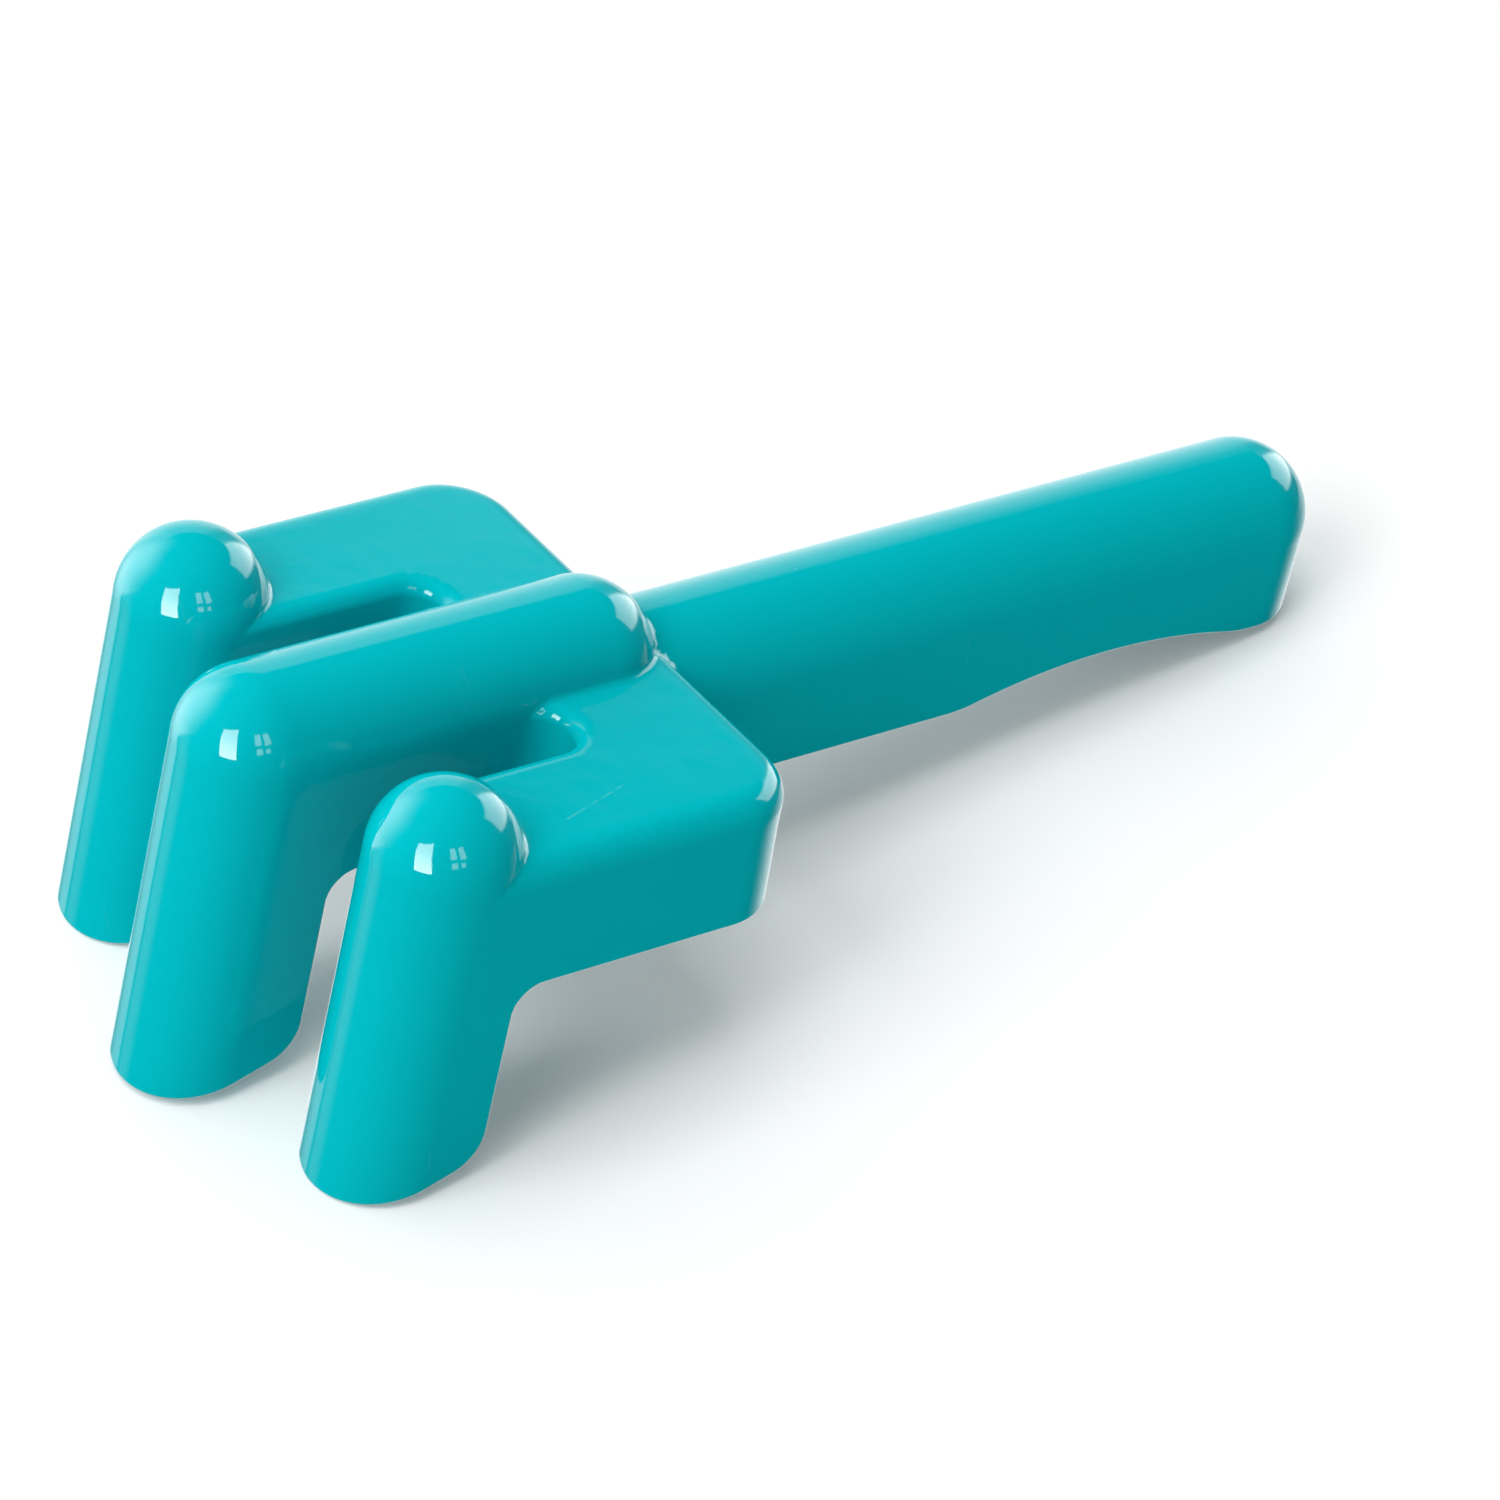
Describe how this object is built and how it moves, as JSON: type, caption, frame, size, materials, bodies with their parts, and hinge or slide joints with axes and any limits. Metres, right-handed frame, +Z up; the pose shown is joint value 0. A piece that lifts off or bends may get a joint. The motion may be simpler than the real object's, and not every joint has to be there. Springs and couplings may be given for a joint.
{
  "type": "sand rake",
  "caption": "Child's hand rake for sand: broad scooped tines, a ridged head slotted between them and a channel-section handle, moulded as a single open-backed shell of glossy plastic.",
  "frame": {"origin": "on the floor, under the middle of the rake's footprint as it lies on its outer tines and the end of its handle", "axes": "+Y runs from the tines towards the end of the handle, +Z is up, X runs across the head and the rake is symmetric about X = 0"},
  "size_m": [0.0846, 0.2088, 0.0654],
  "materials": {
    "teal_plastic": "glossy injection-moulded plastic, coloured through, faint handling scratches"
  },
  "bodies": {
    "root": {"handle_butt": "teal_plastic", "handle_grip": "teal_plastic", "handle_neck": "teal_plastic", "head_bridge": "teal_plastic", "left_arm": "teal_plastic", "middle_arm": "teal_plastic", "right_arm": "teal_plastic", "left_dome": "teal_plastic", "middle_elbow": "teal_plastic", "right_dome": "teal_plastic", "left_tine": "teal_plastic", "middle_tine": "teal_plastic", "right_tine": "teal_plastic"}
  },
  "joints": []
}
